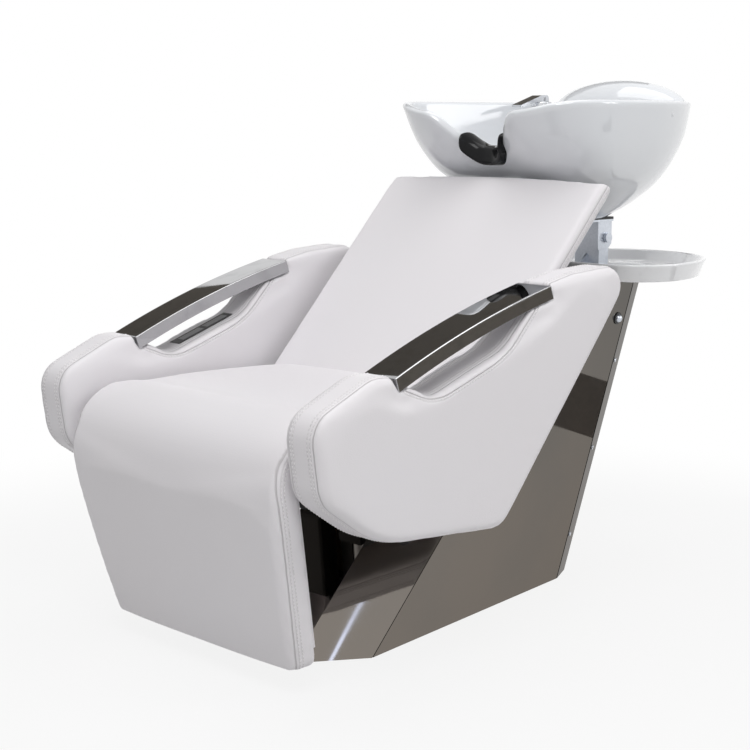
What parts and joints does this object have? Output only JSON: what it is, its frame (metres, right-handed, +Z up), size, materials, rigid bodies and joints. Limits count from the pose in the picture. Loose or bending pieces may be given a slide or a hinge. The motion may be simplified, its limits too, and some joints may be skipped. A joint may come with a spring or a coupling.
{
  "type": "backwash unit",
  "caption": "Salon backwash unit: leaning polished steel base, upholstered seat, back and arms with grip bars, powered leg rest, tray shelf and tilting ceramic bowl with mixer",
  "frame": {"origin": "on the floor at the middle of the four floor bolts", "axes": "+Z up, +Y from the seat to the bowl, +X to the sitter's left"},
  "size_m": [0.75, 1.328, 0.992],
  "materials": {
    "hide": "smooth semi-gloss",
    "polished_steel": "mirror polished",
    "painted_steel": "satin black",
    "zinc_steel": "zinc plated",
    "plated": "bright",
    "ceramic": "gloss glaze",
    "white_shell": "gloss",
    "black_rubber": "satin",
    "black_plastic": "matt",
    "grey_plastic": "satin",
    "board": "raw",
    "bronze": "machined"
  },
  "bodies": {
    "root": {"seat_cushion": "hide", "back_cushion": "hide", "arm_left": "hide", "arm_right": "hide", "side_panel_left": "polished_steel", "side_panel_right": "polished_steel", "front_panel": "polished_steel", "rear_cover": "polished_steel", "arm_grip_left": "polished_steel", "arm_grip_right": "polished_steel", "base_frame": "painted_steel", "floor_plate": "painted_steel", "top_plate": "painted_steel", "seat_frame": "painted_steel", "bracket_foot": "zinc_steel", "arm_bolts": "zinc_steel", "foot_bolts": "zinc_steel", "tilt_bolt": "zinc_steel", "arm_spacers": "zinc_steel", "hinge_shaft": "zinc_steel", "drive_clamps": "zinc_steel", "side_bolts": "plated", "cover_screws": "plated", "top_tray": "white_shell", "side_washers": "black_rubber", "drive_body": "black_plastic", "drive_motor": "black_plastic", "control_box": "black_plastic", "switch_bezel": "black_plastic", "seat_board": "board", "back_board": "board"},
    "leg": {"leg_frame": "painted_steel", "leg_board": "board", "leg_cushion": "hide", "hinge_bushes": "bronze"},
    "drive_rod": {"drive_rod": "zinc_steel"},
    "bowl": {"bracket_yoke": "zinc_steel", "bowl_pad": "black_rubber", "bowl": "ceramic", "neck_rest": "black_rubber", "waste_fitting": "plated", "mixer_body": "plated", "hose_guide": "plated"},
    "strainer": {"strainer": "plated"},
    "mixer_cap": {"mixer_cap": "plated"},
    "mixer_lever": {"mixer_lever": "plated"},
    "button_up": {"button_up": "grey_plastic"},
    "button_down": {"button_down": "grey_plastic"}
  },
  "joints": [
    {"name": "leg_lift", "type": "hinge", "parent": "root", "child": "leg", "pos_m": [0, -0.462, 0.354], "axis": [-1, 0, 0], "range_deg": [0, 70]},
    {"name": "drive_slide", "type": "slide", "parent": "root", "child": "drive_rod", "axis": [0, -1, 0], "range_m": [0, 0.11]},
    {"name": "bowl_tilt", "type": "hinge", "parent": "root", "child": "bowl", "pos_m": [0, 0.525, 0.676], "axis": [-1, 0, 0], "range_deg": [-2, 15]},
    {"name": "strainer_lift", "type": "slide", "parent": "bowl", "child": "strainer", "axis": [0, 0, 1], "range_m": [0, 0.06]},
    {"name": "mixer_swivel", "type": "hinge", "parent": "bowl", "child": "mixer_cap", "pos_m": [-0.156, 0.54, 0.945], "axis": [0, 0, 1], "range_deg": [-10, 60]},
    {"name": "mixer_lift", "type": "hinge", "parent": "mixer_cap", "child": "mixer_lever", "pos_m": [-0.156, 0.54, 0.95435], "axis": [-1, 0, 0], "range_deg": [0, 25]},
    {"name": "button_up_press", "type": "slide", "parent": "root", "child": "button_up", "axis": [0, 0.3314, -0.9435], "range_m": [0, 0.002], "stiffness_N_per_m": 800, "springref_m": -0.0005},
    {"name": "button_down_press", "type": "slide", "parent": "root", "child": "button_down", "axis": [0, 0.3314, -0.9435], "range_m": [0, 0.002], "stiffness_N_per_m": 800, "springref_m": -0.0005}
  ],
  "couplings": [
    {"joint": "drive_slide", "follows": "leg_lift", "m_per_rad": 0.089201}
  ]
}
